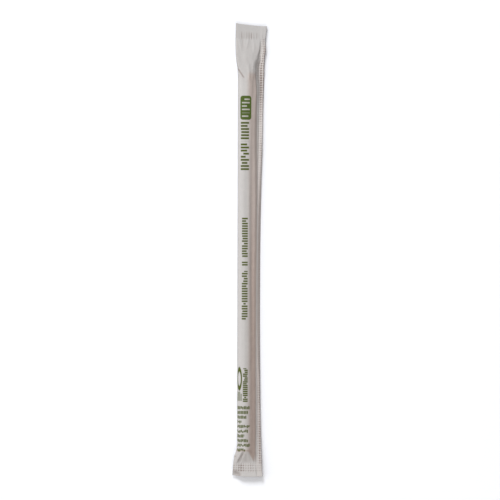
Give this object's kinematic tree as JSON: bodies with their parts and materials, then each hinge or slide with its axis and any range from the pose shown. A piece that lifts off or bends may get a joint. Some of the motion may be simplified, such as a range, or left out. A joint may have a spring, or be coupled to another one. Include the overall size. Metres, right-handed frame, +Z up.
{
  "type": "wrapped drinking straw",
  "caption": "Drinking straw sealed in a paper wrapper, with a folded edge, a knurled side seam and knurled flat ends.",
  "frame": {"origin": "on the table, under the middle of the pack", "axes": "+Y along the pack towards the end with the longer empty stretch, +X across it from the folded edge towards the seam, +Z up from the table"},
  "size_m": [0.0172, 0.2359, 0.0061],
  "materials": {
    "paper": "thin uncoated off-white wrapping paper, knurled along its seals, with plain green printing"
  },
  "bodies": {
    "root": {"wrapped_straw": "paper"}
  },
  "joints": []
}
